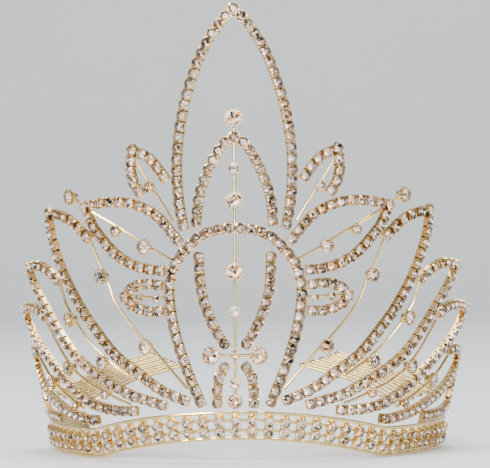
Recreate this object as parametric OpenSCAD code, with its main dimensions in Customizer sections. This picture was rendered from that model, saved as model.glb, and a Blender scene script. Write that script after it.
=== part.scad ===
// Pageant crown: a flared two-row band, strands of set stones bent into leaves, and wire sprays.
// The origin is on the resting plane under the middle of the band's oval. The front faces -Y.
// A place on the crown is given as turn (degrees round the oval from the front) and share
// (percent of the height from a strand lying on the top rail up to the apex of the tall leaf).

/* [Band] */
// Width of the oval at the top rail
band_w = 152; // [140:1:165]
// Depth of the oval at the top rail
band_d = 176; // [165:1:190]
// Distance between the two rails along the slant
band_h = 10.5; // [10.2:0.1:13]
// Outward slant of the band at the front, in degrees
flare_front = 24; // [10:1:28]
// Outward slant of the band at the sides, in degrees
flare_side = 10; // [5:1:16]
// Height of the bottom rail over the resting plane at the front
front_lift = 8; // [2:0.5:9]
// Turn at which the bottom rail comes down to the resting plane
lift_turn = 45; // [42:1:48]
// Turn at which the band ends at the back
band_end = 118; // [108:1:124]
// Diameter of the rails
rail_d = 1.1; // [0.9:0.1:1.3]

/* [Band stones] */
// Distance between neighbouring stones along the band
band_pitch = 6.1; // [5.8:0.1:6.6]
// Diameter of a band stone
band_stone_d = 3.6; // [3:0.1:3.7]
// Distance between the two rows
row_gap = 4.0; // [3.9:0.1:4.4]
// Width of the upright behind a pair of stones
strut_w = 4.1; // [3.8:0.1:4.2]
// Height of the links between the uprights
link_h = 1.0; // [0.8:0.1:1.2]
// Height of a band stone's setting and crown
band_stone_t = 2.0; // [1.6:0.1:2.4]
// Turn of the last pair of stones
stones_end = 89; // [80:1:92]

/* [Panel] */
// Height of the tall leaf's apex over the top rail
crown_rise = 146.5; // [140:0.5:160]
// Lean of the panel at the front, in degrees (minus is inward)
lean_front = -3; // [-4:0.5:0]
// Lean of the panel at the sides, in degrees
lean_side = 13; // [8:0.5:14]
// Width of a strand
strand_w = 4.0; // [3.8:0.1:4.1]
// Depth of a strand
strand_t = 2.6; // [2:0.1:3]
// Bevel along a strand's edges
strand_bevel = 0.6; // [0.3:0.1:0.8]

/* [Sprays] */
// Diameter of the plain wires
wire_d = 1.1; // [0.8:0.1:1.2]
// Wall of a setting round its stone
cup_wall = 0.35; // [0.25:0.05:0.4]
// Depth of a setting behind the wire's middle
cup_back = 0.8; // [0.6:0.1:1]
// Depth of a setting in front of its wire, as a share of its stone's diameter
cup_deep = 0.36; // [0.3:0.02:0.4]
// Height of a stone over its setting
stone_t = 1.5; // [1.2:0.1:1.8]
// Diameter of the large stones
big_d = 6.2; // [5.8:0.1:6.3]
// Diameter of the middle stones
mid_d = 5.3; // [4.8:0.1:5.5]
// Diameter of the small stones
small_d = 4.0; // [3.6:0.1:4.2]
// Diameter of the smallest stones
tiny_d = 3.3; // [3:0.1:3.5]
// Diameter of the stones inside the petals
petal_d = 3; // [2.6:0.1:3.1]

/* [Combs] */
// Diameter of the comb wire
comb_d = 1.1; // [0.9:0.1:1.3]
// Length of a tooth
tooth_l = 38; // [30:1:42]
// Distance between neighbouring teeth
tooth_gap = 3.2; // [2.8:0.1:3.6]
// Number of hairpin teeth
teeth = 5; // [3:1:6]
// Rise of a tooth from its root to its tip
tooth_rise = 14; // [8:1:16]

/* [Fit] */
// Gap between neighbouring soldered pieces
solder_gap = 0.3; // [0.2:0.05:0.4]
// Gap between a stone and its seat
seat_gap = 0.05; // [0.03:0.01:0.1]

/* [Hidden] */

gold = [0.86, 0.72, 0.47];
stone = [0.87, 0.83, 0.88];
half_w = band_w / 2;
half_d = band_d / 2;
// a strand that lies on the top rail has its middle this far above the rail's middle
seat = rail_d / 2 + solder_gap + strand_w / 2;
// the rounding where the lifted front meets the resting plane
lift_round = 0.4;
sides = 8;
wire_sides = 6;

// Chosen points of the strands and wires: [turn, share]
ROUTES = [
    ["tall", [[0, 100], [4, 96.5], [9, 90.3], [13, 81.7], [15.5, 73], [16.8, 62], [16.1, 51.6],
        [14.5, 44.4]]],
    ["inner", [[0, 67.4], [3.5, 65.4], [7.7, 59.2], [10.4, 52.3], [11.2, 45]]],
    ["inner_side", [[10.3, 38.9], [10.3, 35.8], [9.4, 28], [6.4, 20.4], [2.2, 14]]],
    ["loop", [[1.9, 10.6], [4.2, 7.8], [5, 4.2], [5, -1.1]]],
    ["arch", [[0, 44.4], [6, 43.9], [10.5, 42.4], [14, 39.6], [17.3, 36], [18.8, 30.7], [18.5, 25],
        [17, 18.5], [14.3, 10.8], [11.5, 4.5], [9.1, -0.4]]],
    ["petal", [[20.6, 31], [25, 32.1], [29.3, 31.9], [32, 29.8]]],
    ["petal_low", [[32, 29.8], [29.8, 27.2], [25, 25.1], [20.3, 24.6]]],
    ["wing", [[15.6, 41.1], [20.7, 47.3], [24, 50.1], [27.3, 52.1], [31, 53.6], [36.5, 54.7],
        [42.7, 54.7]]],
    ["wing_low", [[42.7, 54.7], [41, 50], [38.8, 46.5], [35, 41.7], [30.4, 38.1], [25, 35.8],
        [19.8, 34.7]]],
    ["small", [[26.5, 54.6], [28.7, 58], [29.6, 62], [29, 66.6]]],
    ["small_in", [[29, 66.6], [24.6, 64], [21.2, 59.8], [19.5, 57.3]]],
    ["hook_1", [[41.5, 45.8], [46.2, 51], [50, 53], [54.3, 53.8]]],
    ["side_1", [[54.3, 53.8], [54.3, 48], [52, 39.4], [48, 31.7], [43, 24.6], [36, 15.9], [29, 10.3],
        [21.5, 4.9], [15, 1.9], [12.8, 1]]],
    ["hook_2", [[53.1, 35.6], [57.5, 38.7], [62, 40.1], [67.3, 39.2]]],
    ["side_2", [[67.3, 39.2], [65.5, 34.8], [60.5, 28.2], [56, 22.5], [51, 17.4], [45, 13.4], [38, 8.8],
        [31, 4.7], [25, 2.4], [19.5, 0.5]]],
    ["hook_3", [[62.5, 26.3], [66, 28.3], [72, 28.9], [80, 27.6]]],
    ["side_3", [[80, 27.6], [77.5, 24.1], [72, 20], [66, 16.4], [59, 12.2], [53, 8.5], [47, 5.5], [41, 3],
        [35, 1.2], [28.5, 0.2]]],
    ["hook_4", [[72.2, 16.9], [79, 16.9], [84, 15.7]]],
    ["side_4", [[84, 15.7], [86, 10.3], [86, 5.2], [84.7, 0.4]]],
    ["side_inner", [[83.8, 11.6], [76, 8.1], [69, 5.4], [62, 3.3], [55, 1.5], [47, 0.4], [42.8, 0.2]]],
    ["side_foot", [[83, 1.7], [76, 0.5], [68, 0.2], [61.8, 0.2]]],
    ["centre_top", [[0, 65.2], [0, 58], [0, 46]]],
    ["centre_low", [[0, 42.7], [0, 33], [0, 20], [0, 0.8]]],
    ["centre_tip", [[0, 72.1], [0, 69.3]]],
    ["cross", [[-6.4, 12.4], [0, 12.4], [6.4, 12.4]]],
    ["wing_wire", [[40, 52.7], [32.5, 47.1], [24.8, 41.5], [18.5, 37.5]]],
    ["wing_tip", [[44.6, 56.7], [45.4, 57.9]]],
    ["small_wire", [[27.4, 62.5], [24.1, 57], [20.3, 51.1], [18.2, 47.8]]],
    ["petal_wire", [[29, 29.4], [26.6, 29], [20.6, 28]]],
    ["long_wire", [[41.4, 45.3], [39, 39.2], [37, 34.6], [35.2, 29.6], [31.8, 24.5], [27.2, 19],
        [22.8, 14.6], [18.2, 9.5], [14, 5]]],
    ["side_wire_1", [[53.1, 34.8], [51.9, 30.5], [50.1, 27.7], [48, 24.9], [44.8, 21.3], [40.5, 16.9],
        [35.5, 12.6], [31.9, 10]]],
    ["side_wire_2", [[61.2, 24.4], [58.1, 20], [55.1, 16.5], [51.6, 13.4], [47.4, 10.9], [41.4, 7.7],
        [35, 4.2], [31.5, 2.6]]],
    ["side_wire_3", [[71.6, 15], [65.2, 10.4], [58.5, 7.2], [52.5, 4.8], [49.3, 3.6]]],
];

// Chosen places of the single stones: [turn, share, diameter]
CENTRE_TOP = [[0, 59.4, small_d], [0, 51.3, big_d]];
CENTRE_LOW = [[0, 33.4, big_d], [0, 23.3, small_d], [0, 12.4, tiny_d], [6.4, 12.4, big_d],
    [-6.4, 12.4, big_d], [0, 5.2, small_d], [0, 0.8, mid_d]];
CENTRE_TIP = [[0, 72.1, big_d]];
WING = [[33.2, 46.8, small_d], [25.1, 41.5, mid_d]];
WING_TIP = [[45.4, 57.9, mid_d]];
SMALL = [[23.7, 56.4, small_d]];
PETAL = [[26.6, 28.9, petal_d], [21.9, 28, petal_d]];
LONG = [[37.7, 36.1, mid_d], [24.8, 16.1, mid_d]];
SIDE_1 = [[49.3, 26.4, mid_d], [38.6, 14.2, mid_d]];
SIDE_2 = [[51.7, 13.8, mid_d], [38.8, 6, tiny_d]];
SIDE_3 = [[61.7, 9.8, mid_d], [51, 4.3, tiny_d]];
SIDE_ALL = concat(WING, WING_TIP, SMALL, PETAL, LONG, SIDE_1, SIDE_2, SIDE_3);

function route(name) = ROUTES[search([name], ROUTES)[0]][1];
function flip(points) = [for (p = points) [-p[0], p[1]]];
function flip_all(places) = [for (p = places) [-p[0], p[1], p[2]]];
function back(points) = [for (i = [len(points) - 1:-1:0]) points[i]];
function tail(points) = [for (i = [1:len(points) - 1]) points[i]];
function unit(v) = v / norm(v);

// The oval, the lifted bottom rail and the two slants
function side_share(t) = pow(sin(t), 2);
function flare(t) = flare_front + (flare_side - flare_front) * side_share(t);
function lean(t) = lean_front + (lean_side - lean_front) * side_share(t);
function out_of(t) = unit([half_d * sin(t), -half_w * cos(t), 0]);
function oval(t) = [half_w * sin(t), -half_d * cos(t), 0];
function lift_plane(t) = front_lift * (1 - (1 - cos(t)) / (1 - cos(lift_turn)));
function contour(t) = (lift_plane(t) + sqrt(pow(lift_plane(t), 2) + pow(lift_round, 2))) / 2;
// the tilted rail's lowest corner lies on the resting plane
function low_z(t) = rail_d / 2 * (cos(flare(t)) + sin(flare(t))) + contour(t);
function top_z(t) = low_z(t) + band_h * cos(flare(t));

// A point of the band: v along the slant from the bottom rail, w out of its face
function band_point(t, v, w) = oval(t)
    + out_of(t) * ((v - band_h) * sin(flare(t)) + w * cos(flare(t)))
    + [0, 0, low_z(t) + v * cos(flare(t)) - w * sin(flare(t))];

// A point of the panel: share as above, w out of its face
function rise(share) = seat + share / 100 * (crown_rise - seat);
function face_of(t) = out_of(t) * cos(lean(t)) - [0, 0, sin(lean(t))];
function panel_point(t, share, w) = oval(t) + out_of(t) * rise(share) * tan(lean(t))
    + [0, 0, top_z(t) + rise(share)] + face_of(t) * w;

// Arc length along the oval, as a table that is looked up both ways
function speed(t) = norm([half_w * cos(t), half_d * sin(t)]) * PI / 180;
ARCS = [for (t = 0, s = 0; t <= 130; s = s + speed(t + 0.5), t = t + 1) [t, s]];
TURNS = [for (a = ARCS) [a[1], a[0]]];
function arc_at(t) = sign(t) * lookup(abs(t), ARCS);
function turn_at(s) = sign(s) * lookup(abs(s), TURNS);

// A bar swept along points with a face direction at each; the section is mitred at each bend
function aim(p, i) = unit(
    (i > 0 ? unit(p[i] - p[i - 1]) : [0, 0, 0])
    + (i < len(p) - 1 ? unit(p[i + 1] - p[i]) : [0, 0, 0]));
function mitre(p, i) = i == 0 || i == len(p) - 1 ? 1 : 1 / (aim(p, i) * unit(p[i + 1] - p[i]));
function across(p, faces, i) = unit(cross(faces[i], aim(p, i)));
function bar_points(p, faces, section) = [
    for (i = [0:len(p) - 1])
        let (x = across(p, faces, i) * mitre(p, i), y = cross(aim(p, i), across(p, faces, i)))
        for (c = section) p[i] + x * c[0] + y * c[1]
];
function bar_faces(rings, n) = concat(
    [for (k = [1:n - 2]) [0, k, k + 1]],
    [for (k = [1:n - 2]) [(rings - 1) * n, (rings - 1) * n + k + 1, (rings - 1) * n + k]],
    [for (i = [0:rings - 2], k = [0:n - 1]) [i * n + k, (i + 1) * n + k, (i + 1) * n + (k + 1) % n]],
    [for (i = [0:rings - 2], k = [0:n - 1]) [i * n + k, (i + 1) * n + (k + 1) % n, i * n + (k + 1) % n]]
);
module bar(p, faces, section) {
    polyhedron(points = bar_points(p, faces, section), faces = bar_faces(len(p), len(section)));
}

function strand_section() = let (x = strand_w / 2, y = strand_t / 2, b = strand_bevel) [
    [x, y - b], [x - b, y], [b - x, y], [-x, y - b], [-x, b - y], [b - x, -y], [x - b, -y], [x, b - y]
];
function round_section(d) = [
    for (k = [0:wire_sides - 1]) [cos(k * 360 / wire_sides), sin(k * 360 / wire_sides)] * d / 2
];
function places(points) = [for (p = points) panel_point(p[0], p[1], 0)];
function faces_at(points) = [for (p = points) face_of(p[0])];

module strand(points) {
    color(stone)
        bar(places(points), faces_at(points), strand_section());
}
module wire(points) {
    bar(places(points), faces_at(points), round_section(wire_d));
}

// A stone: rings of eight points from its seat through its widest ring to its table
function ring_points(c, x, y, r, half) = [
    for (k = [0:sides - 1])
        let (a = (k + 0.5 + half) * 360 / sides) c + (x * cos(a) + y * sin(a)) * r
];
function stone_rings(c, x, y, z, d, h) = concat(
    ring_points(c, x, y, d * 0.36, 0),
    ring_points(c + z * h * 0.5, x, y, d / 2, 0),
    ring_points(c + z * h, x, y, d * 0.29, 0.5)
);
function stone_faces(o) = concat(
    [for (k = [1:sides - 2]) [o, o + k, o + k + 1]],
    [for (k = [1:sides - 2]) [o + 2 * sides, o + 2 * sides + k + 1, o + 2 * sides + k]],
    [for (j = [0, 1], k = [0:sides - 1])
        [o + j * sides + k, o + (j + 1) * sides + k, o + j * sides + (k + 1) % sides]],
    [for (j = [0, 1], k = [0:sides - 1])
        [o + j * sides + (k + 1) % sides, o + (j + 1) * sides + k, o + (j + 1) * sides + (k + 1) % sides]]
);
function along_of(z) = unit(cross([0, 0, 1], z));
function cup_top(d) = wire_d / 2 + cup_deep * d;
function panel_stone(p) = let (z = face_of(p[0]), x = along_of(z)) stone_rings(
    panel_point(p[0], p[1], cup_top(p[2]) + seat_gap), x, cross(z, x), z, p[2], stone_t);

module stones(list) {
    color(stone)
        polyhedron(
            points = [for (p = list) each panel_stone(p)],
            faces = [for (i = [0:len(list) - 1]) each stone_faces(i * 3 * sides)]
        );
}

// A setting: an eight-sided cup body on the wire, tapering toward its back, under its stone
module cup(p) {
    z = face_of(p[0]);
    x = along_of(z);
    y = cross(z, x);
    c = panel_point(p[0], p[1], -cup_back);
    r = p[2] / 2 + cup_wall;
    low = ring_points(c, x, y, r * 0.8, 0);
    high = ring_points(c + z * (cup_back + cup_top(p[2])), x, y, r, 0);
    polyhedron(points = concat(low, high), faces = bar_faces(2, sides));
}
module spray(points, list) {
    color(gold)
        union() {
            wire(points);
            for (p = list)
                cup(p);
        }
}
module centre_low() {
    color(gold)
        union() {
            wire(route("centre_low"));
            wire(route("cross"));
            for (p = CENTRE_LOW)
                cup(p);
        }
}

// The band is one grid of corners: columns along the arc, rows up the slant, front and back
row_low = (band_h - row_gap) / 2;
row_high = (band_h + row_gap) / 2;
ROWS = [-rail_d / 2, rail_d / 2, row_low - link_h / 2, row_low + link_h / 2,
    row_high - link_h / 2, row_high + link_h / 2, band_h - rail_d / 2, band_h + rail_d / 2];
pairs = floor(arc_at(stones_end) / band_pitch);
plain_runs = 5;
end_arc = arc_at(band_end);
last_arc = pairs * band_pitch + strut_w / 2;
// column edges: an upright's two edges per pair of stones, then the plain strip at each end
SIDE_COLS = [for (k = [1:plain_runs]) last_arc + (end_arc - last_arc) * k / plain_runs];
COLS = concat(
    back([for (s = SIDE_COLS) -s]),
    [for (i = [-pairs:pairs]) each [i * band_pitch - strut_w / 2, i * band_pitch + strut_w / 2]],
    SIDE_COLS
);
col_count = len(COLS);
// a cell is filled in a rail row, in an upright or end column, and in a link row between uprights
function is_upright(i) = (i - plain_runs) % 2 == 0;
function is_plain(i) = i < plain_runs || i > col_count - 2 - plain_runs;
function filled(i, j) = i < 0 || i > col_count - 2 || j < 0 || j > 6 ? false
    : j == 0 || j == 6 ? true
    : is_plain(i) || is_upright(i) ? true
    : j == 2 || j == 4;
function corner(i, j, k) = (i * 8 + j) * 2 + k;
function quad(a, b, c, d) = [[a, b, c], [a, c, d]];

module band() {
    points = [
        for (i = [0:col_count - 1], j = [0:7], k = [0, 1])
            band_point(turn_at(COLS[i]), ROWS[j], k == 0 ? -rail_d / 2 : rail_d / 2)
    ];
    faces = [
        for (i = [0:col_count - 2], j = [0:6])
            if (filled(i, j))
                each concat(
                    quad(corner(i, j, 1), corner(i, j + 1, 1), corner(i + 1, j + 1, 1), corner(i + 1, j, 1)),
                    quad(corner(i, j, 0), corner(i + 1, j, 0), corner(i + 1, j + 1, 0), corner(i, j + 1, 0)),
                    filled(i - 1, j) ? []
                        : quad(corner(i, j, 0), corner(i, j + 1, 0), corner(i, j + 1, 1), corner(i, j, 1)),
                    filled(i + 1, j) ? []
                        : quad(corner(i + 1, j, 0), corner(i + 1, j, 1), corner(i + 1, j + 1, 1),
                            corner(i + 1, j + 1, 0)),
                    filled(i, j - 1) ? []
                        : quad(corner(i, j, 0), corner(i, j, 1), corner(i + 1, j, 1), corner(i + 1, j, 0)),
                    filled(i, j + 1) ? []
                        : quad(corner(i, j + 1, 0), corner(i + 1, j + 1, 0), corner(i + 1, j + 1, 1),
                            corner(i, j + 1, 1))
                )
    ];
    color(gold)
        polyhedron(points = points, faces = faces);
}

function band_stone(i, v) = let (
    s = i * band_pitch,
    w = rail_d / 2,
    up = band_point(turn_at(s), v + 1, w) - band_point(turn_at(s), v - 1, w),
    x = unit(band_point(turn_at(s + 1), v, w) - band_point(turn_at(s - 1), v, w)),
    z = unit(cross(x, up))
) stone_rings(band_point(turn_at(s), v, w) + z * seat_gap, x, cross(z, x), z, band_stone_d, band_stone_t);

module band_stones(v) {
    color(stone)
        polyhedron(
            points = [for (i = [-pairs:pairs]) each band_stone(i, v)],
            faces = [for (i = [0:2 * pairs]) each stone_faces(i * 3 * sides)]
        );
}

// A comb of one wire bent into hairpins; its roots lie behind the side leaves and it reaches inward
comb_turn = 60;
comb_share = 5;
// the teeth point square to the oval at this turn
aim_turn = 68;
comb_in = strand_t / 2 + solder_gap + comb_d / 2;
function root(k) = let (
    j = k - teeth + 0.5,
    t = turn_at(arc_at(comb_turn) + j * tooth_gap)
) panel_point(t, comb_share + j * 0.25, -comb_in);
tooth_dir = -out_of(aim_turn);
function tip_point(k) = root(k) + tooth_dir * tooth_l + [0, 0, tooth_rise];
function middle_point(k) = root(k) + tooth_dir * tooth_l * 0.5 + [0, 0, tooth_rise * 0.65];
COMB = [
    for (k = [0:2 * teeth - 1]) each k % 2 == 0
        ? [root(k), middle_point(k), tip_point(k)]
        : [tip_point(k), middle_point(k), root(k)]
];
module comb() {
    color(gold)
        bar(COMB, [for (p = COMB) unit([0.2, 0.1, 1])], round_section(comb_d));
}

module leaf(first, second) {
    strand(concat(first, tail(second)));
}

band();
band_stones(row_high);  // band_stones_upper
band_stones(row_low);  // band_stones_lower
leaf(back(flip(route("tall"))), route("tall"));  // tall_leaf
leaf(back(flip(route("inner"))), route("inner"));  // inner_leaf
strand(flip(route("inner_side")));  // inner_side_left
strand(route("inner_side"));  // inner_side_right
strand(flip(route("loop")));  // loop_left
strand(route("loop"));  // loop_right
leaf(back(flip(route("arch"))), route("arch"));  // arch
leaf(flip(route("petal")), flip(route("petal_low")));  // petal_left
leaf(route("petal"), route("petal_low"));  // petal_right
leaf(flip(route("wing")), flip(route("wing_low")));  // wing_leaf_left
leaf(route("wing"), route("wing_low"));  // wing_leaf_right
leaf(flip(route("small")), flip(route("small_in")));  // small_leaf_left
leaf(route("small"), route("small_in"));  // small_leaf_right
leaf(flip(route("hook_1")), flip(route("side_1")));  // side_leaf_1_left
leaf(route("hook_1"), route("side_1"));  // side_leaf_1_right
leaf(flip(route("hook_2")), flip(route("side_2")));  // side_leaf_2_left
leaf(route("hook_2"), route("side_2"));  // side_leaf_2_right
leaf(flip(route("hook_3")), flip(route("side_3")));  // side_leaf_3_left
leaf(route("hook_3"), route("side_3"));  // side_leaf_3_right
leaf(flip(route("hook_4")), flip(route("side_4")));  // side_leaf_4_left
leaf(route("hook_4"), route("side_4"));  // side_leaf_4_right
strand(flip(route("side_inner")));  // side_inner_left
strand(route("side_inner"));  // side_inner_right
strand(flip(route("side_foot")));  // side_foot_left
strand(route("side_foot"));  // side_foot_right
spray(route("centre_tip"), CENTRE_TIP);  // centre_tip
spray(route("centre_top"), CENTRE_TOP);  // centre_wire_top
centre_low();  // centre_wire_low
spray(flip(route("wing_wire")), flip_all(WING));  // wing_wire_left
spray(route("wing_wire"), WING);  // wing_wire_right
spray(flip(route("wing_tip")), flip_all(WING_TIP));  // wing_tip_left
spray(route("wing_tip"), WING_TIP);  // wing_tip_right
spray(flip(route("small_wire")), flip_all(SMALL));  // small_wire_left
spray(route("small_wire"), SMALL);  // small_wire_right
spray(flip(route("petal_wire")), flip_all(PETAL));  // petal_wire_left
spray(route("petal_wire"), PETAL);  // petal_wire_right
spray(flip(route("long_wire")), flip_all(LONG));  // long_wire_left
spray(route("long_wire"), LONG);  // long_wire_right
spray(flip(route("side_wire_1")), flip_all(SIDE_1));  // side_wire_1_left
spray(route("side_wire_1"), SIDE_1);  // side_wire_1_right
spray(flip(route("side_wire_2")), flip_all(SIDE_2));  // side_wire_2_left
spray(route("side_wire_2"), SIDE_2);  // side_wire_2_right
spray(flip(route("side_wire_3")), flip_all(SIDE_3));  // side_wire_3_left
spray(route("side_wire_3"), SIDE_3);  // side_wire_3_right
stones(concat(CENTRE_TIP, CENTRE_TOP, CENTRE_LOW));  // stones_centre
stones(flip_all(SIDE_ALL));  // stones_left
stones(SIDE_ALL);  // stones_right
mirror([1, 0, 0]) comb();  // comb_left
comb();  // comb_right
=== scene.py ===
import math
import random

import bpy
import numpy as np
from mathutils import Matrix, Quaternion, Vector


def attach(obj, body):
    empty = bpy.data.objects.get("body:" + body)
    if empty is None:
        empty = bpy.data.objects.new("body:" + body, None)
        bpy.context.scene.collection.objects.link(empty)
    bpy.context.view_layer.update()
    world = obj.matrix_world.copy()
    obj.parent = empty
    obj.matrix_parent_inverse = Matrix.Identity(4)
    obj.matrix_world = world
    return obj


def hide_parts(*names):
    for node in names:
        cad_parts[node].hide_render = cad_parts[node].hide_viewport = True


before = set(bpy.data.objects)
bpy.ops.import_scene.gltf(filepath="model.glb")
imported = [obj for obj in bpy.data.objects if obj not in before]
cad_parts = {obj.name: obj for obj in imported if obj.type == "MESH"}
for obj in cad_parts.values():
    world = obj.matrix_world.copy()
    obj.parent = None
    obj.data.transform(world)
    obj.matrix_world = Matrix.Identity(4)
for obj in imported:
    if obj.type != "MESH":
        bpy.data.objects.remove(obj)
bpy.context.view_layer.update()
mm = 0.001
chance = random.Random(41)

# the crown's own sizes in millimetres and degrees
crown = {
    "width": 152, "depth": 176, "slant": 10.5, "flareFront": 24, "flareSide": 10,
    "lift": 8, "liftTurn": 45, "liftRound": 0.4, "endTurn": 118, "railD": 1.1,
    "pitch": 6.1, "stonesEnd": 89, "rowGap": 4.0, "rise": 146.5,
    "leanFront": -3, "leanSide": 13, "strandW": 4.0, "strandT": 2.6, "gap": 0.3, "wireD": 1.1,
}

# diameters of the single stones
bigD = 6.2
midD = 5.3
smallD = 4.0
tinyD = 3.3
petalD = 3.0

# chosen points of the strands and wires, [turn, share]
routes = {
    "tall": [[0, 100], [4, 96.5], [9, 90.3], [13, 81.7], [15.5, 73], [16.8, 62], [16.1, 51.6],
             [14.5, 44.4]],
    "inner": [[0, 67.4], [3.5, 65.4], [7.7, 59.2], [10.4, 52.3], [11.2, 45]],
    "inner_side": [[10.3, 38.9], [10.3, 35.8], [9.4, 28], [6.4, 20.4], [2.2, 14]],
    "loop": [[1.9, 10.6], [4.2, 7.8], [5, 4.2], [5, -1.1]],
    "arch": [[0, 44.4], [6, 43.9], [10.5, 42.4], [14, 39.6], [17.3, 36], [18.8, 30.7], [18.5, 25],
             [17, 18.5], [14.3, 10.8], [11.5, 4.5], [9.1, -0.4]],
    "petal": [[20.6, 31], [25, 32.1], [29.3, 31.9], [32, 29.8]],
    "petal_low": [[32, 29.8], [29.8, 27.2], [25, 25.1], [20.3, 24.6]],
    "wing": [[15.6, 41.1], [20.7, 47.3], [24, 50.1], [27.3, 52.1], [31, 53.6], [36.5, 54.7],
             [42.7, 54.7]],
    "wing_low": [[42.7, 54.7], [41, 50], [38.8, 46.5], [35, 41.7], [30.4, 38.1], [25, 35.8],
                 [19.8, 34.7]],
    "small": [[26.5, 54.6], [28.7, 58], [29.6, 62], [29, 66.6]],
    "small_in": [[29, 66.6], [24.6, 64], [21.2, 59.8], [19.5, 57.3]],
    "hook_1": [[41.5, 45.8], [46.2, 51], [50, 53], [54.3, 53.8]],
    "side_1": [[54.3, 53.8], [54.3, 48], [52, 39.4], [48, 31.7], [43, 24.6], [36, 15.9], [29, 10.3],
               [21.5, 4.9], [15, 1.9], [12.8, 1]],
    "hook_2": [[53.1, 35.6], [57.5, 38.7], [62, 40.1], [67.3, 39.2]],
    "side_2": [[67.3, 39.2], [65.5, 34.8], [60.5, 28.2], [56, 22.5], [51, 17.4], [45, 13.4], [38, 8.8],
               [31, 4.7], [25, 2.4], [19.5, 0.5]],
    "hook_3": [[62.5, 26.3], [66, 28.3], [72, 28.9], [80, 27.6]],
    "side_3": [[80, 27.6], [77.5, 24.1], [72, 20], [66, 16.4], [59, 12.2], [53, 8.5], [47, 5.5], [41, 3],
               [35, 1.2], [28.5, 0.2]],
    "hook_4": [[72.2, 16.9], [79, 16.9], [84, 15.7]],
    "side_4": [[84, 15.7], [86, 10.3], [86, 5.2], [84.7, 0.4]],
    "side_inner": [[83.8, 11.6], [76, 8.1], [69, 5.4], [62, 3.3], [55, 1.5], [47, 0.4], [42.8, 0.2]],
    "side_foot": [[83, 1.7], [76, 0.5], [68, 0.2], [61.8, 0.2]],
    "centre_top": [[0, 65.2], [0, 58], [0, 46]],
    "centre_low": [[0, 42.7], [0, 33], [0, 20], [0, 0.8]],
    "centre_tip": [[0, 72.1], [0, 69.3]],
    "cross": [[-6.4, 12.4], [0, 12.4], [6.4, 12.4]],
    "wing_wire": [[40, 52.7], [32.5, 47.1], [24.8, 41.5], [18.5, 37.5]],
    "wing_tip": [[44.6, 56.7], [45.4, 57.9]],
    "small_wire": [[27.4, 62.5], [24.1, 57], [20.3, 51.1], [18.2, 47.8]],
    "petal_wire": [[29, 29.4], [26.6, 29], [20.6, 28]],
    "long_wire": [[41.4, 45.3], [39, 39.2], [37, 34.6], [35.2, 29.6], [31.8, 24.5], [27.2, 19],
                  [22.8, 14.6], [18.2, 9.5], [14, 5]],
    "side_wire_1": [[53.1, 34.8], [51.9, 30.5], [50.1, 27.7], [48, 24.9], [44.8, 21.3], [40.5, 16.9],
                    [35.5, 12.6], [31.9, 10]],
    "side_wire_2": [[61.2, 24.4], [58.1, 20], [55.1, 16.5], [51.6, 13.4], [47.4, 10.9], [41.4, 7.7],
                    [35, 4.2], [31.5, 2.6]],
    "side_wire_3": [[71.6, 15], [65.2, 10.4], [58.5, 7.2], [52.5, 4.8], [49.3, 3.6]],
}

# the single stones on each wire, [turn, share, diameter]
settings = {
    "centre_tip": [[0, 72.1, bigD]],
    "centre_top": [[0, 59.4, smallD], [0, 51.3, bigD]],
    "centre_low": [[0, 33.4, bigD], [0, 23.3, smallD], [0, 12.4, tinyD], [6.4, 12.4, bigD],
                   [-6.4, 12.4, bigD], [0, 5.2, smallD], [0, 0.8, midD]],
    "wing_wire": [[33.2, 46.8, smallD], [25.1, 41.5, midD]],
    "wing_tip": [[45.4, 57.9, midD]],
    "small_wire": [[23.7, 56.4, smallD]],
    "petal_wire": [[26.6, 28.9, petalD], [21.9, 28, petalD]],
    "long_wire": [[37.7, 36.1, midD], [24.8, 16.1, midD]],
    "side_wire_1": [[49.3, 26.4, midD], [38.6, 14.2, midD]],
    "side_wire_2": [[51.7, 13.8, midD], [38.8, 6, tinyD]],
    "side_wire_3": [[61.7, 9.8, midD], [51, 4.3, tinyD]],
}


def unit(v):
    return v / np.linalg.norm(v)


def sine(turn):
    return math.sin(math.radians(turn))


def cosine(turn):
    return math.cos(math.radians(turn))


# the oval, its lifted bottom rail and its two slants
def slantAt(turn, front, side):
    return front + (side - front) * sine(turn) ** 2


def outOf(turn):
    return unit(np.array([crown["depth"] * sine(turn), -crown["width"] * cosine(turn), 0.0]))


def oval(turn):
    return np.array([crown["width"] / 2 * sine(turn), -crown["depth"] / 2 * cosine(turn), 0.0])


def lowZ(turn):
    flare = slantAt(turn, crown["flareFront"], crown["flareSide"])
    plane = crown["lift"] * (1 - (1 - cosine(turn)) / (1 - cosine(crown["liftTurn"])))
    foot = crown["railD"] / 2 * (cosine(flare) + sine(flare))
    return foot + (plane + math.hypot(plane, crown["liftRound"])) / 2


# a point of the band: v up its slant from the bottom rail, w out of its face
def bandPoint(turn, v, w):
    flare = slantAt(turn, crown["flareFront"], crown["flareSide"])
    out = (v - crown["slant"]) * sine(flare) + w * cosine(flare)
    height = lowZ(turn) + v * cosine(flare) - w * sine(flare)
    return oval(turn) + outOf(turn) * out + np.array([0, 0, height])


def faceOf(turn):
    lean = slantAt(turn, crown["leanFront"], crown["leanSide"])
    return outOf(turn) * cosine(lean) - np.array([0, 0, sine(lean)])


# a point of the leaning face over the band: share of the crown's rise, w out of it
def panelPoint(turn, share, w=0.0):
    seat = crown["railD"] / 2 + crown["gap"] + crown["strandW"] / 2
    rise = seat + share / 100 * (crown["rise"] - seat)
    lean = slantAt(turn, crown["leanFront"], crown["leanSide"])
    top = bandPoint(turn, crown["slant"], 0)
    out = outOf(turn) * rise * math.tan(math.radians(lean))
    return top + out + np.array([0, 0, rise]) + faceOf(turn) * w


def onPanel(q):
    return panelPoint(q[0], q[1])


# length of the oval's arc over one degree
def arcStep(turn):
    return math.hypot(crown["width"] / 2 * cosine(turn), crown["depth"] / 2 * sine(turn)) * math.pi / 180


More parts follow.
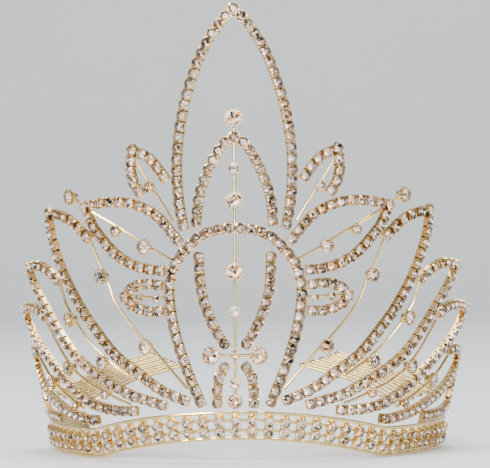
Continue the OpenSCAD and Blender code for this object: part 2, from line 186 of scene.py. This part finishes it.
# whole degrees from the front to past the band's end, and the oval's length up to each
arcTurns = np.arange(0, 131, 1.0)
arcLengths = np.concatenate([[0], np.cumsum([arcStep(t + 0.5) for t in arcTurns[:-1]])])


def arcAt(turn):
    return math.copysign(float(np.interp(abs(turn), arcTurns, arcLengths)), turn)


def turnAt(arc):
    return math.copysign(float(np.interp(abs(arc), arcLengths, arcTurns)), arc)


# a smooth line through chosen points
def smoothLine(points, steps=12):
    p = [np.array(q, float) for q in points]
    p = [2 * p[0] - p[1]] + p + [2 * p[-1] - p[-2]]
    line = []
    for i in range(1, len(p) - 2):
        for k in range(steps):
            u = k / steps
            line.append(0.5 * (2 * p[i] + (p[i + 1] - p[i - 1]) * u
                               + (2 * p[i - 1] - 5 * p[i] + 4 * p[i + 1] - p[i + 2]) * u * u
                               + (3 * p[i] - p[i - 1] - 3 * p[i + 1] + p[i + 2]) * u ** 3))
    line.append(p[-2])
    return line


# lengths of the pieces of a line of [turn, share], as it lies on the crown
def lineSteps(line):
    space = [onPanel(q) for q in line]
    return [np.linalg.norm(b - a) for a, b in zip(space, space[1:])]


# the [turn, share] of a line's points at these shares of its length
def spaced(line, shares):
    lengths = np.concatenate([[0], np.cumsum(lineSteps(line))])
    columns = np.array(line).T
    return [np.array([np.interp(s * lengths[-1], lengths, column) for column in columns]) for s in shares]


# the same points on the crown's other side
def flipped(points):
    return [[-p[0]] + list(p[1:]) for p in points]


# a mesh is gathered from copies of small shapes, then made into one object
class Gather:
    def __init__(self):
        self.points = []
        self.faces = []
        self.kinds = []

    def add(self, points, faces, kinds):
        start = len(self.points)
        self.points.extend([tuple(p) for p in points])
        self.faces.extend([tuple(start + i for i in f) for f in faces])
        self.kinds.extend(kinds if isinstance(kinds, list) else [kinds] * len(faces))

    def copy(self, shape, place, axes, scale=1.0):
        turn = np.array(axes).T
        self.add([place + turn @ (p * scale) for p in shape["points"]], shape["faces"], shape["kinds"])

    def make(self, name, materials, smooth=False):
        mesh = bpy.data.meshes.new(name)
        mesh.from_pydata([tuple(c * mm for c in p) for p in self.points], [], self.faces)
        for m in materials:
            mesh.materials.append(m)
        mesh.polygons.foreach_set("material_index", self.kinds)
        mesh.polygons.foreach_set("use_smooth", [smooth] * len(self.faces))
        mesh.update()
        piece = bpy.data.objects.new(name, mesh)
        bpy.context.scene.collection.objects.link(piece)
        return piece


# faces of a shape whose points lie in closed rows: its floor, its top and its walls
def floorFace(sides):
    return tuple(range(sides - 1, -1, -1))


def topFace(rows, sides):
    return tuple((rows - 1) * sides + k for k in range(sides))


def wallFaces(rows, sides):
    faces = []
    for i in range(rows - 1):
        for k in range(sides):
            n = (k + 1) % sides
            faces.append((i * sides + k, i * sides + n, (i + 1) * sides + n, (i + 1) * sides + k))
    return faces


# a turned shape from (radius, height) pairs, closed below and, if asked, above
def rings(profile, sides, capHigh=False):
    points = []
    for radius, height in profile:
        for k in range(sides):
            a = 2 * math.pi * k / sides
            points.append(np.array([radius * math.cos(a), radius * math.sin(a), height]))
    faces = wallFaces(len(profile), sides) + [floorFace(sides)]
    if capHigh:
        faces.append(topFace(len(profile), sides))
    return {"points": points, "faces": faces, "kinds": [0] * len(faces)}


def joined(*shapes):
    points, faces, kinds = [], [], []
    for s in shapes:
        start = len(points)
        points += s["points"]
        faces += [tuple(start + i for i in f) for f in s["faces"]]
        kinds += s["kinds"]
    return {"points": points, "faces": faces, "kinds": kinds}


# shares of a cut stone's radius, and its star ring's share of the crown height
stoneCut = {"tableR": 0.56, "starR": 0.79, "starH": 0.6, "crownH": 0.3, "deep": 0.82}


# a round cut stone of radius 1: table, 8 star, 8 main and 16 girdle facets, 16 facets to its foil
def cutStone(crownH, deep):
    points = []
    for k in range(8):
        a = math.pi * (k + 0.5) / 4
        points.append(np.array([stoneCut["tableR"] * math.cos(a), stoneCut["tableR"] * math.sin(a),
                                crownH]))
    for k in range(8):
        a = math.pi * k / 4
        points.append(np.array([stoneCut["starR"] * math.cos(a), stoneCut["starR"] * math.sin(a),
                                crownH * stoneCut["starH"]]))
    for k in range(16):
        a = math.pi * k / 8
        points.append(np.array([math.cos(a), math.sin(a), 0.0]))
    points.append(np.array([0, 0, -deep]))
    faces = [tuple(range(8))]
    for k in range(8):
        n = (k + 1) % 8
        low = 16 + 2 * k
        high = 16 + (2 * k + 2) % 16
        faces += [((k - 1) % 8, 8 + k, k), (k, 8 + k, low + 1), (k, low + 1, 8 + n)]
        faces += [(8 + k, low, low + 1), (8 + n, low + 1, high)]
    top = len(faces)
    for k in range(8):
        faces += [(17 + 2 * k, 16 + 2 * k, 32), (16 + (2 * k + 2) % 16, 17 + 2 * k, 32)]
    return {"points": points, "faces": faces, "kinds": [0] * top + [1] * (len(faces) - top)}


# shares of a prong's thickness at its knee and tip, and how far its knee lies over
prongTaper = {"knee": 0.95, "tip": 0.55, "kneeLay": 0.6}


# one prong: a tapering square bar from its foot over its knee to its tip, each (radius, height)
def prong(angle, foot, knee, tip, thick):
    points = []
    side = np.array([-math.sin(angle), math.cos(angle), 0])
    out = np.array([math.cos(angle), math.sin(angle), 0])
    up = np.array([0, 0, 1.0])
    over = unit(out + up * prongTaper["kneeLay"])
    for (radius, height), size, lay in ((foot, 1.0, out), (knee, prongTaper["knee"], over),
                                        (tip, prongTaper["tip"], up)):
        c = out * radius + up * height
        for a, b in ((1, 1), (-1, 1), (-1, -1), (1, -1)):
            points.append(c + side * a * thick * size + lay * b * thick * size)
    faces = [floorFace(4)] + wallFaces(3, 4) + [topFace(3, 4)]
    return {"points": points, "faces": faces, "kinds": [0] * len(faces)}


def fourProngs(foot, knee, tip, thick):
    return [prong(math.pi * (0.25 + 0.5 * k), foot, knee, tip, thick) for k in range(4)]


# shares of a wire's radius: the length and the radius of its rounded ends
wireEnd = {"length": 0.3, "narrow": 0.7}


# a round wire along points, with each ring square to its line
def addWire(gather, line, normals, diameter, sides=10):
    r = diameter / 2
    start = unit(line[1] - line[0]) * r * wireEnd["length"]
    end = unit(line[-1] - line[-2]) * r * wireEnd["length"]
    line = [line[0], line[0] + start] + list(line[1:-1]) + [line[-1] - end, line[-1]]
    normals = [normals[0]] + list(normals) + [normals[-1]]
    radii = [r * wireEnd["narrow"]] + [r] * (len(line) - 2) + [r * wireEnd["narrow"]]
    points = []
    for i, (middle, normal, radius) in enumerate(zip(line, normals, radii)):
        along = unit(line[min(i + 1, len(line) - 1)] - line[max(i - 1, 0)])
        x = unit(np.cross(normal, along))
        y = np.cross(along, x)
        for k in range(sides):
            t = 2 * math.pi * k / sides
            points.append(middle + (x * math.cos(t) + y * math.sin(t)) * radius)
    faces = [floorFace(sides), topFace(len(line), sides)] + wallFaces(len(line), sides)
    gather.add(points, faces, 0)


# a flat strip along points, its width along ups and its thickness along outs
def addRibbon(gather, line, ups, outs, height, thick, kind=0):
    points = []
    for p, u, o in zip(line, ups, outs):
        for a, b in ((1, 1), (-1, 1), (-1, -1), (1, -1)):
            points.append(p + u * a * height / 2 + o * b * thick / 2)
    count = len(line)
    faces = [(0, 1, 2, 3), tuple((count - 1) * 4 + k for k in (3, 2, 1, 0))]
    for i in range(count - 1):
        for k in range(4):
            n = (k + 1) % 4
            faces.append((i * 4 + n, i * 4 + k, (i + 1) * 4 + k, (i + 1) * 4 + n))
    gather.add(points, faces, kind)


# materials, with the widths of their patterns in millimetres
pattern = {"wear": 7, "grain": 0.9, "cast": 5, "facet": 0.85, "mottle": 1000 / 6}


# an sRGB hex colour as linear values
def linear(hexColour):
    parts = [int(hexColour[i:i + 2], 16) / 255 for i in (1, 3, 5)]
    return tuple(c / 12.92 if c <= 0.04045 else ((c + 0.055) / 1.055) ** 2.4 for c in parts) + (1.0,)


def addNode(tree, kind, values=None, links=None, **choices):
    node = tree.nodes.new(kind)
    for name, value in choices.items():
        setattr(node, name, value)
    for name, value in (values or {}).items():
        node.inputs[name].default_value = value
    for name, source in (links or {}).items():
        tree.links.new(source, node.inputs[name])
    return node


def newMaterial(name):
    made = bpy.data.materials.new(name)
    made.use_nodes = True
    made.node_tree.nodes.clear()
    return made, made.node_tree


# thin gold plating over brass, polished in a barrel: patches of slightly deeper and duller gold
def plating(name, pale, deep, roughLow, roughHigh):
    made, tree = newMaterial(name)
    place = addNode(tree, "ShaderNodeTexCoord")
    wear = addNode(tree, "ShaderNodeTexNoise",
                   {"Scale": 1 / (pattern["wear"] * mm), "Detail": 3.0, "Roughness": 0.55},
                   {"Vector": place.outputs["Object"]})
    tone = addNode(tree, "ShaderNodeMix", {6: linear(pale), 7: linear(deep)}, {0: wear.outputs["Fac"]},
                   data_type="RGBA")
    rough = addNode(tree, "ShaderNodeMapRange", {"To Min": roughLow, "To Max": roughHigh},
                    {"Value": wear.outputs["Fac"]})
    grain = addNode(tree, "ShaderNodeTexNoise", {"Scale": 1 / (pattern["grain"] * mm), "Detail": 2.0},
                    {"Vector": place.outputs["Object"]})
    bump = addNode(tree, "ShaderNodeBump", {"Strength": 0.12, "Distance": 0.05 * mm},
                   {"Height": grain.outputs["Fac"]})
    shader = addNode(tree, "ShaderNodeBsdfPrincipled", {"Metallic": 1.0},
                     {"Base Color": tone.outputs[2], "Roughness": rough.outputs["Result"],
                      "Normal": bump.outputs["Normal"]})
    addNode(tree, "ShaderNodeOutputMaterial", links={"Surface": shader.outputs["BSDF"]})
    return made


# machine-cut glass, polished: clear, with a faint warm cast that differs from stone to stone
def glassTop(name, clear, tinted):
    made, tree = newMaterial(name)
    place = addNode(tree, "ShaderNodeTexCoord")
    cast = addNode(tree, "ShaderNodeTexNoise", {"Scale": 1 / (pattern["cast"] * mm), "Detail": 1.0},
                   {"Vector": place.outputs["Object"]})
    spread = addNode(tree, "ShaderNodeMapRange", {"From Min": 0.35, "From Max": 0.65},
                     {"Value": cast.outputs["Fac"]})
    tone = addNode(tree, "ShaderNodeMix", {6: linear(clear), 7: linear(tinted)},
                   {0: spread.outputs["Result"]}, data_type="RGBA")
    shader = addNode(tree, "ShaderNodeBsdfPrincipled",
                     {"Transmission Weight": 1.0, "IOR": 1.57, "Roughness": 0.0},
                     {"Base Color": tone.outputs[2]})
    addNode(tree, "ShaderNodeOutputMaterial", links={"Surface": shader.outputs["BSDF"]})
    return made


# silver foil on the back of the stone: a mirror, with painted reflections in its colour: small cells of
# dark, gold and white stand for the claws' gold, the light and the dark of the room side by side
def foilWithPaintedReflections(name, reflectionTones):
    made, tree = newMaterial(name)
    place = addNode(tree, "ShaderNodeTexCoord")
    # each cell gets one tone from the ramp below: a painted reflection
    facets = addNode(tree, "ShaderNodeTexVoronoi", {"Scale": 1 / (pattern["facet"] * mm)},
                     {"Vector": place.outputs["Object"]})
    parted = addNode(tree, "ShaderNodeSeparateColor", links={"Color": facets.outputs["Color"]})
    ramp = addNode(tree, "ShaderNodeValToRGB", links={"Fac": parted.outputs["Red"]})
    ramp.color_ramp.interpolation = "CONSTANT"
    while len(ramp.color_ramp.elements) < len(reflectionTones):
        ramp.color_ramp.elements.new(0.5)
    for element, (at, colour) in zip(ramp.color_ramp.elements, reflectionTones):
        element.position = at
        element.color = linear(colour)
    shader = addNode(tree, "ShaderNodeBsdfPrincipled", {"Metallic": 1.0, "Roughness": 0.2},
                     {"Base Color": ramp.outputs["Color"]})
    addNode(tree, "ShaderNodeOutputMaterial", links={"Surface": shader.outputs["BSDF"]})
    return made


# matt paper sweep: one flat tone with a trace of mottling
def paper(name, colour, rough):
    made, tree = newMaterial(name)
    place = addNode(tree, "ShaderNodeTexCoord")
    mottle = addNode(tree, "ShaderNodeTexNoise", {"Scale": 1 / (pattern["mottle"] * mm), "Detail": 2.0},
                     {"Vector": place.outputs["Object"]})
    darker = tuple(c * 0.96 for c in linear(colour)[:3]) + (1.0,)
    tone = addNode(tree, "ShaderNodeMix", {6: linear(colour), 7: darker}, {0: mottle.outputs["Fac"]},
                   data_type="RGBA")
    shader = addNode(tree, "ShaderNodeBsdfPrincipled", {"Roughness": rough},
                     {"Base Color": tone.outputs[2]})
    addNode(tree, "ShaderNodeOutputMaterial", links={"Surface": shader.outputs["BSDF"]})
    return made


# drawn wire is smooth under its plating: thin bright lines of light run along it
goldWire = plating("polished gold plating on brass wire", "#F3DDA4", "#D9B970", 0.14, 0.3)
# stamped cups are a little duller and deeper in tone than the wire, so the stones stand out of them
goldCup = plating("gold plating on stamped prong cups", "#F1D8A2", "#CBA463", 0.18, 0.34)
# where two cups meet, a fine dark brown line across the chain: painted shade of the gap between the cups
paintedJointShade = plating("painted shade in the joints of the chain", "#6E4F2A", "#4A3318", 0.45, 0.6)
crystal = glassTop("machine-cut clear glass", "#FFFFFF", "#FDF2EE")
# the foil's tones are painted reflections: dark brown for the dark room, gold for the claws, white and pale
# pink for the light
foil = foilWithPaintedReflections("silver foil on the backs of the stones", [
    (0.0, "#22160F"), (0.14, "#DDAA64"), (0.25, "#F6DDB4"), (0.4, "#FFFFFF"), (0.72, "#FCEBDD"),
    (0.88, "#F3E4EA")])
print("materials made")


def finishPiece(piece, slotName, *nodes):
    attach(piece, "root")
    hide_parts(*nodes)


# strands: rows of square prong cups with round stones
chain = {
    "pitch": 4.08, "stoneR": 1.93, "girdle": 0.75, "crownH": 0.27, "deep": 0.66, "tilt": 0.06,
    "halfX": 1.88, "halfY": 1.84, "corner": 0.4,
    "cup": ((0.96, -1.28), (1, -1.08), (1, 0.5), (0.9, 0.5), (0.86, 0.1), (0.4, -0.5)),
    "prong": ((2.2, 0.1), (2.08, 0.85), (1.55, 1.14)), "prongT": 0.25,
    "stripW": 3.5, "stripT": 0.7, "stripAt": -0.93, "stripOver": 1.7,
    "jointL": 0.36, "jointW": 3.62, "jointT": 1.5, "jointAt": -0.42,
    "near": 0.6,
}


# a square cup with cut corners: its floor, its wall, its rim and the slope that the stone lies on
def squareCup():
    x = chain["halfX"]
    y = chain["halfY"]
    c = chain["corner"]
    corners = [(x, c - y), (x, y - c), (x - c, y), (c - x, y),
               (-x, y - c), (-x, c - y), (c - x, -y), (x - c, -y)]
    points = []
    for size, height in chain["cup"]:
        points += [np.array([a * size, b * size, height]) for a, b in corners]
    rows = len(chain["cup"])
    sides = len(corners)
    faces = [floorFace(sides), topFace(rows, sides)] + wallFaces(rows, sides)
    return {"points": points, "faces": faces, "kinds": [0] * len(faces)}


chainCup = joined(squareCup(), *fourProngs(*chain["prong"], chain["prongT"]))
chainStone = cutStone(chain["crownH"], chain["deep"])
stoneShape = cutStone(stoneCut["crownH"], stoneCut["deep"])


# the axes turned by chance about z and leaned a little, as hand-set stones are
def stoneAxes(x, y, z, tilt):
    a = chance.uniform(0, 2 * math.pi)
    lean = unit(z + x * chance.uniform(-tilt, tilt) + y * chance.uniform(-tilt, tilt))
    x = unit(np.cross(np.cross(lean, x * math.cos(a) + y * math.sin(a)), lean))
    return [x, np.cross(lean, x), lean]


# places of a strand's cups: (turn, share, along) over its runs, with one cup at the tip between two runs
def cupPlaces(runs):
    places = []
    lines = [smoothLine(r) for r in runs]
    for index, line in enumerate(lines):
        length = sum(lineSteps(line))
        if len(lines) == 1:
            count = max(2, round(length / chain["pitch"]))
            shares = [(i + 0.5) / count for i in range(count)]
        else:
            count = max(1, round(length / chain["pitch"] - 0.5))
            step = 1 / (count + 0.5)
            if index == 0:
                shares = [1 - i * step for i in range(count, -1, -1)]
            else:
                shares = [i * step for i in range(1, count + 1)]
        near = chain["near"] / length
        before = spaced(line, [max(0, s - near) for s in shares])
        after = spaced(line, [min(1, s + near) for s in shares])
        for share, q, a, b in zip(shares, spaced(line, shares), before, after):
            along = onPanel(b) - onPanel(a)
            # the tip's cup points halfway between the end of one run and the start of the next
            if share == 1:
                onward = spaced(lines[1], [near])[0]
                along = unit(along) + unit(onPanel(onward) - onPanel(lines[1][0]))
            places.append((q[0], q[1], unit(along)))
    return places


def strandPieces(node, runs):
    cups = Gather()
    stones = Gather()
    places = cupPlaces(runs)
    centres = []
    outs = []
    for turn, share, along in places:
        z = faceOf(turn)
        x = unit(along - z * np.dot(along, z))
        y = np.cross(z, x)
        centre = panelPoint(turn, share)
        axes = stoneAxes(x, y, z, chain["tilt"])
        cups.copy(chainCup, centre, [x, y, z])
        stones.copy(chainStone, centre + z * chain["girdle"], axes, chain["stoneR"])
        centres.append(centre + z * chain["stripAt"])
        outs.append(z)
    # a dark joint fills the gap between each cup and the next: its brown is painted shade of that gap
    for i in range(1, len(centres)):
        z = unit(outs[i - 1] + outs[i])
        along = unit(centres[i] - centres[i - 1])
        up = unit(np.cross(z, along))
        middle = (centres[i - 1] + centres[i]) / 2 + z * (chain["jointAt"] - chain["stripAt"])
        line = [middle - along * chain["jointL"] / 2, middle + along * chain["jointL"] / 2]
        addRibbon(cups, line, [up] * 2, [z] * 2, chain["jointW"], chain["jointT"], kind=2)
    # the strip joins the cups' floors and runs a little past the first and last of them
    first = unit(centres[0] - centres[1]) * chain["stripOver"]
    last = unit(centres[-1] - centres[-2]) * chain["stripOver"]
    line = [centres[0] + first] + centres + [centres[-1] + last]
    outs = [outs[0]] + outs + [outs[-1]]
    ends = [0] + list(range(len(line))) + [len(line) - 1]
    ups = [unit(np.cross(outs[i], line[ends[i + 2]] - line[ends[i]])) for i in range(len(line))]
    addRibbon(cups, line, ups, outs, chain["stripW"], chain["stripT"], kind=1)
    finishPiece(cups.make(node + "_cups", [goldCup, goldWire, paintedJointShade]), "gold_wire", node)
    finishPiece(stones.make(node + "_stones", [crystal, foil]), "stone_chain", node)
    return len(places)


cupCount = 0
cupCount += strandPieces("tall_leaf", [flipped(routes["tall"])[::-1], routes["tall"]])
cupCount += strandPieces("inner_leaf", [flipped(routes["inner"])[::-1], routes["inner"]])
cupCount += strandPieces("arch", [flipped(routes["arch"])[::-1] + routes["arch"][1:]])
for side, turned in (("left", flipped), ("right", list)):
    for node, runs in (("inner_side", ["inner_side"]), ("loop", ["loop"]), ("side_inner", ["side_inner"]),
                       ("side_foot", ["side_foot"]), ("petal", ["petal", "petal_low"]),
                       ("wing_leaf", ["wing", "wing_low"]), ("small_leaf", ["small", "small_in"]),
                       ("side_leaf_1", ["hook_1", "side_1"]), ("side_leaf_2", ["hook_2", "side_2"]),
                       ("side_leaf_3", ["hook_3", "side_3"]), ("side_leaf_4", ["hook_4", "side_4"])):
        cupCount += strandPieces(f"{node}_{side}", [turned(routes[r]) for r in runs])
print("strands made", cupCount)

# band: two round rails, an upright and two round cups per pair of stones, flat links and plain end strips
band = {
    "stoneR": 1.8, "girdle": 1.5, "tilt": 0.05,
    "cup": ((1.55, -0.5), (1.95, 0.5), (2.02, 1.38), (1.82, 1.38), (1.7, 0.9)), "cupSides": 16,
    "prong": ((1.98, 0.9), (1.93, 1.62), (1.42, 1.93)), "prongT": 0.22,
    "strutW": 3.3, "strutHalf": 5.2, "strutAt": -0.15, "thick": 0.5,
    "linkH": 1.05, "linkAt": -0.2, "linkShort": 2,
    "endThick": 0.8, "endAfter": 2.05, "endUnder": 0.6, "step": 1.5, "railSides": 12,
}
rowLow = (crown["slant"] - crown["rowGap"]) / 2
rowHigh = (crown["slant"] + crown["rowGap"]) / 2
pairs = math.floor(arcAt(crown["stonesEnd"]) / crown["pitch"])
lastArc = pairs * crown["pitch"] + band["endAfter"]
endArc = arcAt(crown["endTurn"])
bandMetal = Gather()


def bandLine(fromArc, toArc, v, w):
    count = max(2, round((toArc - fromArc) / band["step"]))
    turns = [turnAt(fromArc + (toArc - fromArc) * i / count) for i in range(count + 1)]
    line = [bandPoint(t, v, w) for t in turns]
    ups = [unit(bandPoint(t, v + 1, w) - bandPoint(t, v - 1, w)) for t in turns]
    outs = [unit(bandPoint(t, v, w + 1) - bandPoint(t, v, w)) for t in turns]
    return line, ups, outs


for v in (0, crown["slant"]):
    line, ups, outs = bandLine(-endArc, endArc, v, 0)
    addWire(bandMetal, line, outs, crown["railD"], band["railSides"])
linkArc = lastArc - band["linkShort"]
for v in (rowLow, rowHigh):
    line, ups, outs = bandLine(-linkArc, linkArc, v, band["linkAt"])
    addRibbon(bandMetal, line, ups, outs, band["linkH"], band["thick"])
for sign in (-1, 1):
    arcs = sorted((sign * (lastArc - band["endUnder"]), sign * endArc))
    line, ups, outs = bandLine(arcs[0], arcs[1], crown["slant"] / 2, 0)
    addRibbon(bandMetal, line, ups, outs, crown["slant"], band["endThick"])
bandCup = joined(rings(band["cup"], band["cupSides"]), *fourProngs(*band["prong"], band["prongT"]))
for node, v in (("band_stones_lower", rowLow), ("band_stones_upper", rowHigh)):
    stones = Gather()
    for i in range(-pairs, pairs + 1):
        arc = i * crown["pitch"]
        turn = turnAt(arc)
        up = unit(bandPoint(turn, v + 1, 0) - bandPoint(turn, v - 1, 0))
        x = unit(bandPoint(turnAt(arc + 1), v, 0) - bandPoint(turnAt(arc - 1), v, 0))
        z = unit(np.cross(x, up))
        y = np.cross(z, x)
        centre = bandPoint(turn, v, 0)
        axes = stoneAxes(x, y, z, band["tilt"])
        bandMetal.copy(bandCup, centre, [x, y, z])
        stones.copy(stoneShape, centre + z * band["girdle"], axes, band["stoneR"])
        # one upright stands behind both stones of a pair
        if v == rowLow:
            heights = [crown["slant"] / 2 + d for d in (-band["strutHalf"], 0, band["strutHalf"])]
            line = [bandPoint(turn, height, band["strutAt"]) for height in heights]
            addRibbon(bandMetal, line, [x] * 3, [z] * 3, band["strutW"], band["thick"])
    finishPiece(stones.make(node + "_cut", [crystal, foil]), "stone", node)
finishPiece(bandMetal.make("band_metal", [goldWire]), "gold_wire", "band")
print("band made", pairs)

# sprays: plain wires with single stones in tall claw settings; the R values are shares of a stone's radius
spray = {
    "reach": 1.2, "deep": 0.36, "over": 0.45, "tilt": 0.04, "steps": 6,
    "low": -0.78, "lowR": 0.55, "collar": 0.3, "collarR": 0.65, "wellR": 0.6,
    "shoulder": 1.3, "shoulderR": 0.93, "rim": 0.4, "rimR": 0.98, "lipR": 0.9,
    "claws": {bigD: 12, midD: 12, smallD: 10, tinyD: 8, petalD: 8},
    "clawR": 0.14, "clawFoot": 1.4, "clawNeck": 0.2, "clawIn": 0.06, "clawSides": 6,
}


# height of a single stone's widest ring in front of its wire's middle
def girdleAt(radius):
    return crown["wireD"] / 2 + spray["deep"] * radius * 2 + spray["over"]


# a tall setting for a stone of this diameter: a tapered cup and a ring of rounded claws
def setting(diameter):
    radius = diameter / 2
    count = spray["claws"][diameter]
    high = girdleAt(radius)
    shoulder = high - spray["shoulder"]
    rim = high - spray["rim"]
    parts = [rings([(radius * spray["lowR"], spray["low"]), (radius * spray["collarR"], spray["collar"]),
                    (radius * spray["shoulderR"], shoulder), (radius * spray["rimR"], rim),
                    (radius * spray["lipR"], rim), (radius * spray["wellR"], spray["collar"])], 2 * count)]
    size = radius * spray["clawR"]
    claw = rings([(size * 0.7, -spray["clawFoot"]), (size, -spray["clawNeck"]), (size, size * 0.5),
                  (size * 0.6, size * 1.25)], spray["clawSides"], capHigh=True)
    for k in range(count):
        angle = 2 * math.pi * (k + 0.5) / count
        out = np.array([math.cos(angle), math.sin(angle), 0])
        place = out * (radius - spray["clawIn"]) + np.array([0, 0, high])
        points = [place + q for q in claw["points"]]
        parts.append({"points": points, "faces": claw["faces"], "kinds": claw["kinds"]})
    return joined(*parts)


# the wires of one spray and the settings on the first of them; returns the places of its stones
def sprayPiece(node, wires, turned):
    metal = Gather()
    placed = []
    for name in wires:
        line = smoothLine(turned(routes[name]), spray["steps"])
        points = [onPanel(q) for q in line]
        # each end runs on a little, into the strand or the setting that it is soldered to
        points[0] = points[0] + unit(points[0] - points[1]) * spray["reach"]
        points[-1] = points[-1] + unit(points[-1] - points[-2]) * spray["reach"]
        addWire(metal, points, [faceOf(q[0]) for q in line], crown["wireD"])
    for turn, share, diameter in turned(settings[wires[0]]):
        z = faceOf(turn)
        x = unit(np.cross([0, 0, 1.0], z))
        y = np.cross(z, x)
        centre = panelPoint(turn, share)
        metal.copy(setting(diameter), centre, [x, y, z])
        placed.append((centre, x, y, z, diameter / 2))
    finishPiece(metal.make(node + "_metal", [goldWire]), "gold_wire", node)
    return placed


singles = {"stones_centre": [], "stones_left": [], "stones_right": []}
singles["stones_centre"] += sprayPiece("centre_tip", ["centre_tip"], list)
singles["stones_centre"] += sprayPiece("centre_wire_top", ["centre_top"], list)
singles["stones_centre"] += sprayPiece("centre_wire_low", ["centre_low", "cross"], list)
for side, turned in (("left", flipped), ("right", list)):
    for name in ("wing_wire", "wing_tip", "small_wire", "petal_wire", "long_wire",
                 "side_wire_1", "side_wire_2", "side_wire_3"):
        singles[f"stones_{side}"] += sprayPiece(f"{name}_{side}", [name], turned)
for node, placed in singles.items():
    stones = Gather()
    for centre, x, y, z, radius in placed:
        stones.copy(stoneShape, centre + z * girdleAt(radius), stoneAxes(x, y, z, spray["tilt"]), radius)
    finishPiece(stones.make(node + "_cut", [crystal, foil]), "stone", node)
print("sprays made")

# combs: one wire bent into hairpins, its bends rounded; no part of the wire runs along "across"
comb = {
    "d": 1.1, "length": 38, "gap": 3.2, "teeth": 5, "rise": 14, "turn": 60, "share": 5, "aim": 68,
    "bend": 1.3, "fan": 0.25, "bowAt": 0.5, "bowRise": 0.65, "across": (0.2, 0.1, 1.0),
}


def combRoot(k):
    j = k - comb["teeth"] + 0.5
    turn = turnAt(arcAt(comb["turn"]) + j * comb["gap"])
    inward = crown["strandT"] / 2 + crown["gap"] + comb["d"] / 2
    return panelPoint(turn, comb["share"] + j * comb["fan"], -inward)


def combLine():
    way = -outOf(comb["aim"])
    corners = []
    for k in range(2 * comb["teeth"]):
        root = combRoot(k)
        bow = root + way * comb["length"] * comb["bowAt"] + np.array([0, 0, comb["rise"] * comb["bowRise"]])
        tip = root + way * comb["length"] + np.array([0, 0, comb["rise"]])
        corners += [root, bow, tip] if k % 2 == 0 else [tip, bow, root]
    line = [corners[0]]
    for a, b, c in zip(corners, corners[1:], corners[2:]):
        p = b + unit(a - b) * comb["bend"]
        q = b + unit(c - b) * comb["bend"]
        for u in (0, 0.2, 0.4, 0.6, 0.8, 1):
            line.append(p * (1 - u) ** 2 + b * 2 * u * (1 - u) + q * u * u)
    return line + [corners[-1]]


for side, sign in (("left", -1), ("right", 1)):
    wire = Gather()
    line = [p * np.array([sign, 1, 1]) for p in combLine()]
    addWire(wire, line, [unit(np.array(comb["across"]))] * len(line), comb["d"])
    finishPiece(wire.make(f"comb_{side}_wire", [goldWire], smooth=True), "gold_wire", f"comb_{side}")
print("combs made")

# a pale paper sweep, soft lights and the camera at the photo's angle; these sizes are in metres
stage = {
    "half": 3.0, "front": -3.0, "back": 1.6, "bend": 1.0, "top": 3.5, "steps": 16,
    "middle": 0.08, "roomLight": 0.36,
}
bends = [math.pi / 2 * k / stage["steps"] for k in range(1, stage["steps"] + 1)]
sweep = [(stage["front"], 0.0), (stage["back"], 0.0)]
sweep += [(stage["back"] + stage["bend"] * math.sin(a), stage["bend"] * (1 - math.cos(a))) for a in bends]
sweep.append((stage["back"] + stage["bend"], stage["top"]))
floorMesh = bpy.data.meshes.new("paper sweep")
floorMesh.from_pydata([(x, y, z) for y, z in sweep for x in (-stage["half"], stage["half"])], [],
                      [(2 * i, 2 * i + 1, 2 * i + 3, 2 * i + 2) for i in range(len(sweep) - 1)])
floorMesh.polygons.foreach_set("use_smooth", [True] * len(floorMesh.polygons))
floorMesh.materials.append(paper("pale matt paper", "#DEE3E8", 0.9))
floor = bpy.data.objects.new("paper sweep", floorMesh)
bpy.context.scene.collection.objects.link(floor)

world = bpy.data.worlds.new("soft room")
world.use_nodes = True
world.node_tree.nodes["Background"].inputs["Color"].default_value = linear("#E6E2DD")
world.node_tree.nodes["Background"].inputs["Strength"].default_value = stage["roomLight"]
bpy.context.scene.world = world


# a soft light that looks at the crown's middle
def softLight(name, place, size, power, colour):
    lamp = bpy.data.lights.new(name, "AREA")
    lamp.shape = "RECTANGLE"
    lamp.size = size[0]
    lamp.size_y = size[1]
    lamp.energy = power
    lamp.color = linear(colour)[:3]
    holder = bpy.data.objects.new(name, lamp)
    bpy.context.scene.collection.objects.link(holder)
    holder.location = place
    away = Vector(place) - Vector((0, 0, stage["middle"]))
    holder.rotation_euler = away.to_track_quat("Z", "Y").to_euler()


softLight("key", (-1.1, -1.5, 1.5), (0.8, 0.5), 62, "#FFFAF2")
softLight("fill", (1.5, -1.5, 0.8), (0.8, 0.7), 42, "#FFFAF4")
softLight("top", (0.1, 0.2, 1.9), (1.2, 0.8), 40, "#FFFFFF")
softLight("front", (-0.25, -2.3, 0.75), (1.2, 0.6), 48, "#FFFCF8")

# the picture's size, focal length and optical centre are in pixels
view = {
    "yaw": 3.08, "elevation": 0.5, "roll": 0.5, "distance": 1.2, "sensor": 36,
    "size": (490, 468), "focal": 3324, "centre": (234.15, 241.9),
}
wide, high = view["size"]
level = cosine(view["elevation"])
aim = Vector((0, -crown["depth"] / 2 * mm, stage["middle"]))
toward = Vector((sine(view["yaw"]) * level, -cosine(view["yaw"]) * level, sine(view["elevation"])))
lens = bpy.data.cameras.new("camera")
lens.sensor_width = view["sensor"]
lens.lens = view["focal"] / wide * view["sensor"]
lens.shift_x = (wide / 2 - view["centre"][0]) / wide
lens.shift_y = (view["centre"][1] - high / 2) / wide
camera = bpy.data.objects.new("camera", lens)
bpy.context.scene.collection.objects.link(camera)
camera.location = aim + toward * view["distance"]
rolled = toward.to_track_quat("Z", "Y") @ Quaternion((0, 0, 1), math.radians(-view["roll"]))
camera.rotation_euler = rolled.to_euler()
bpy.context.scene.camera = camera

bpy.context.view_layer.update()
print("stage made")
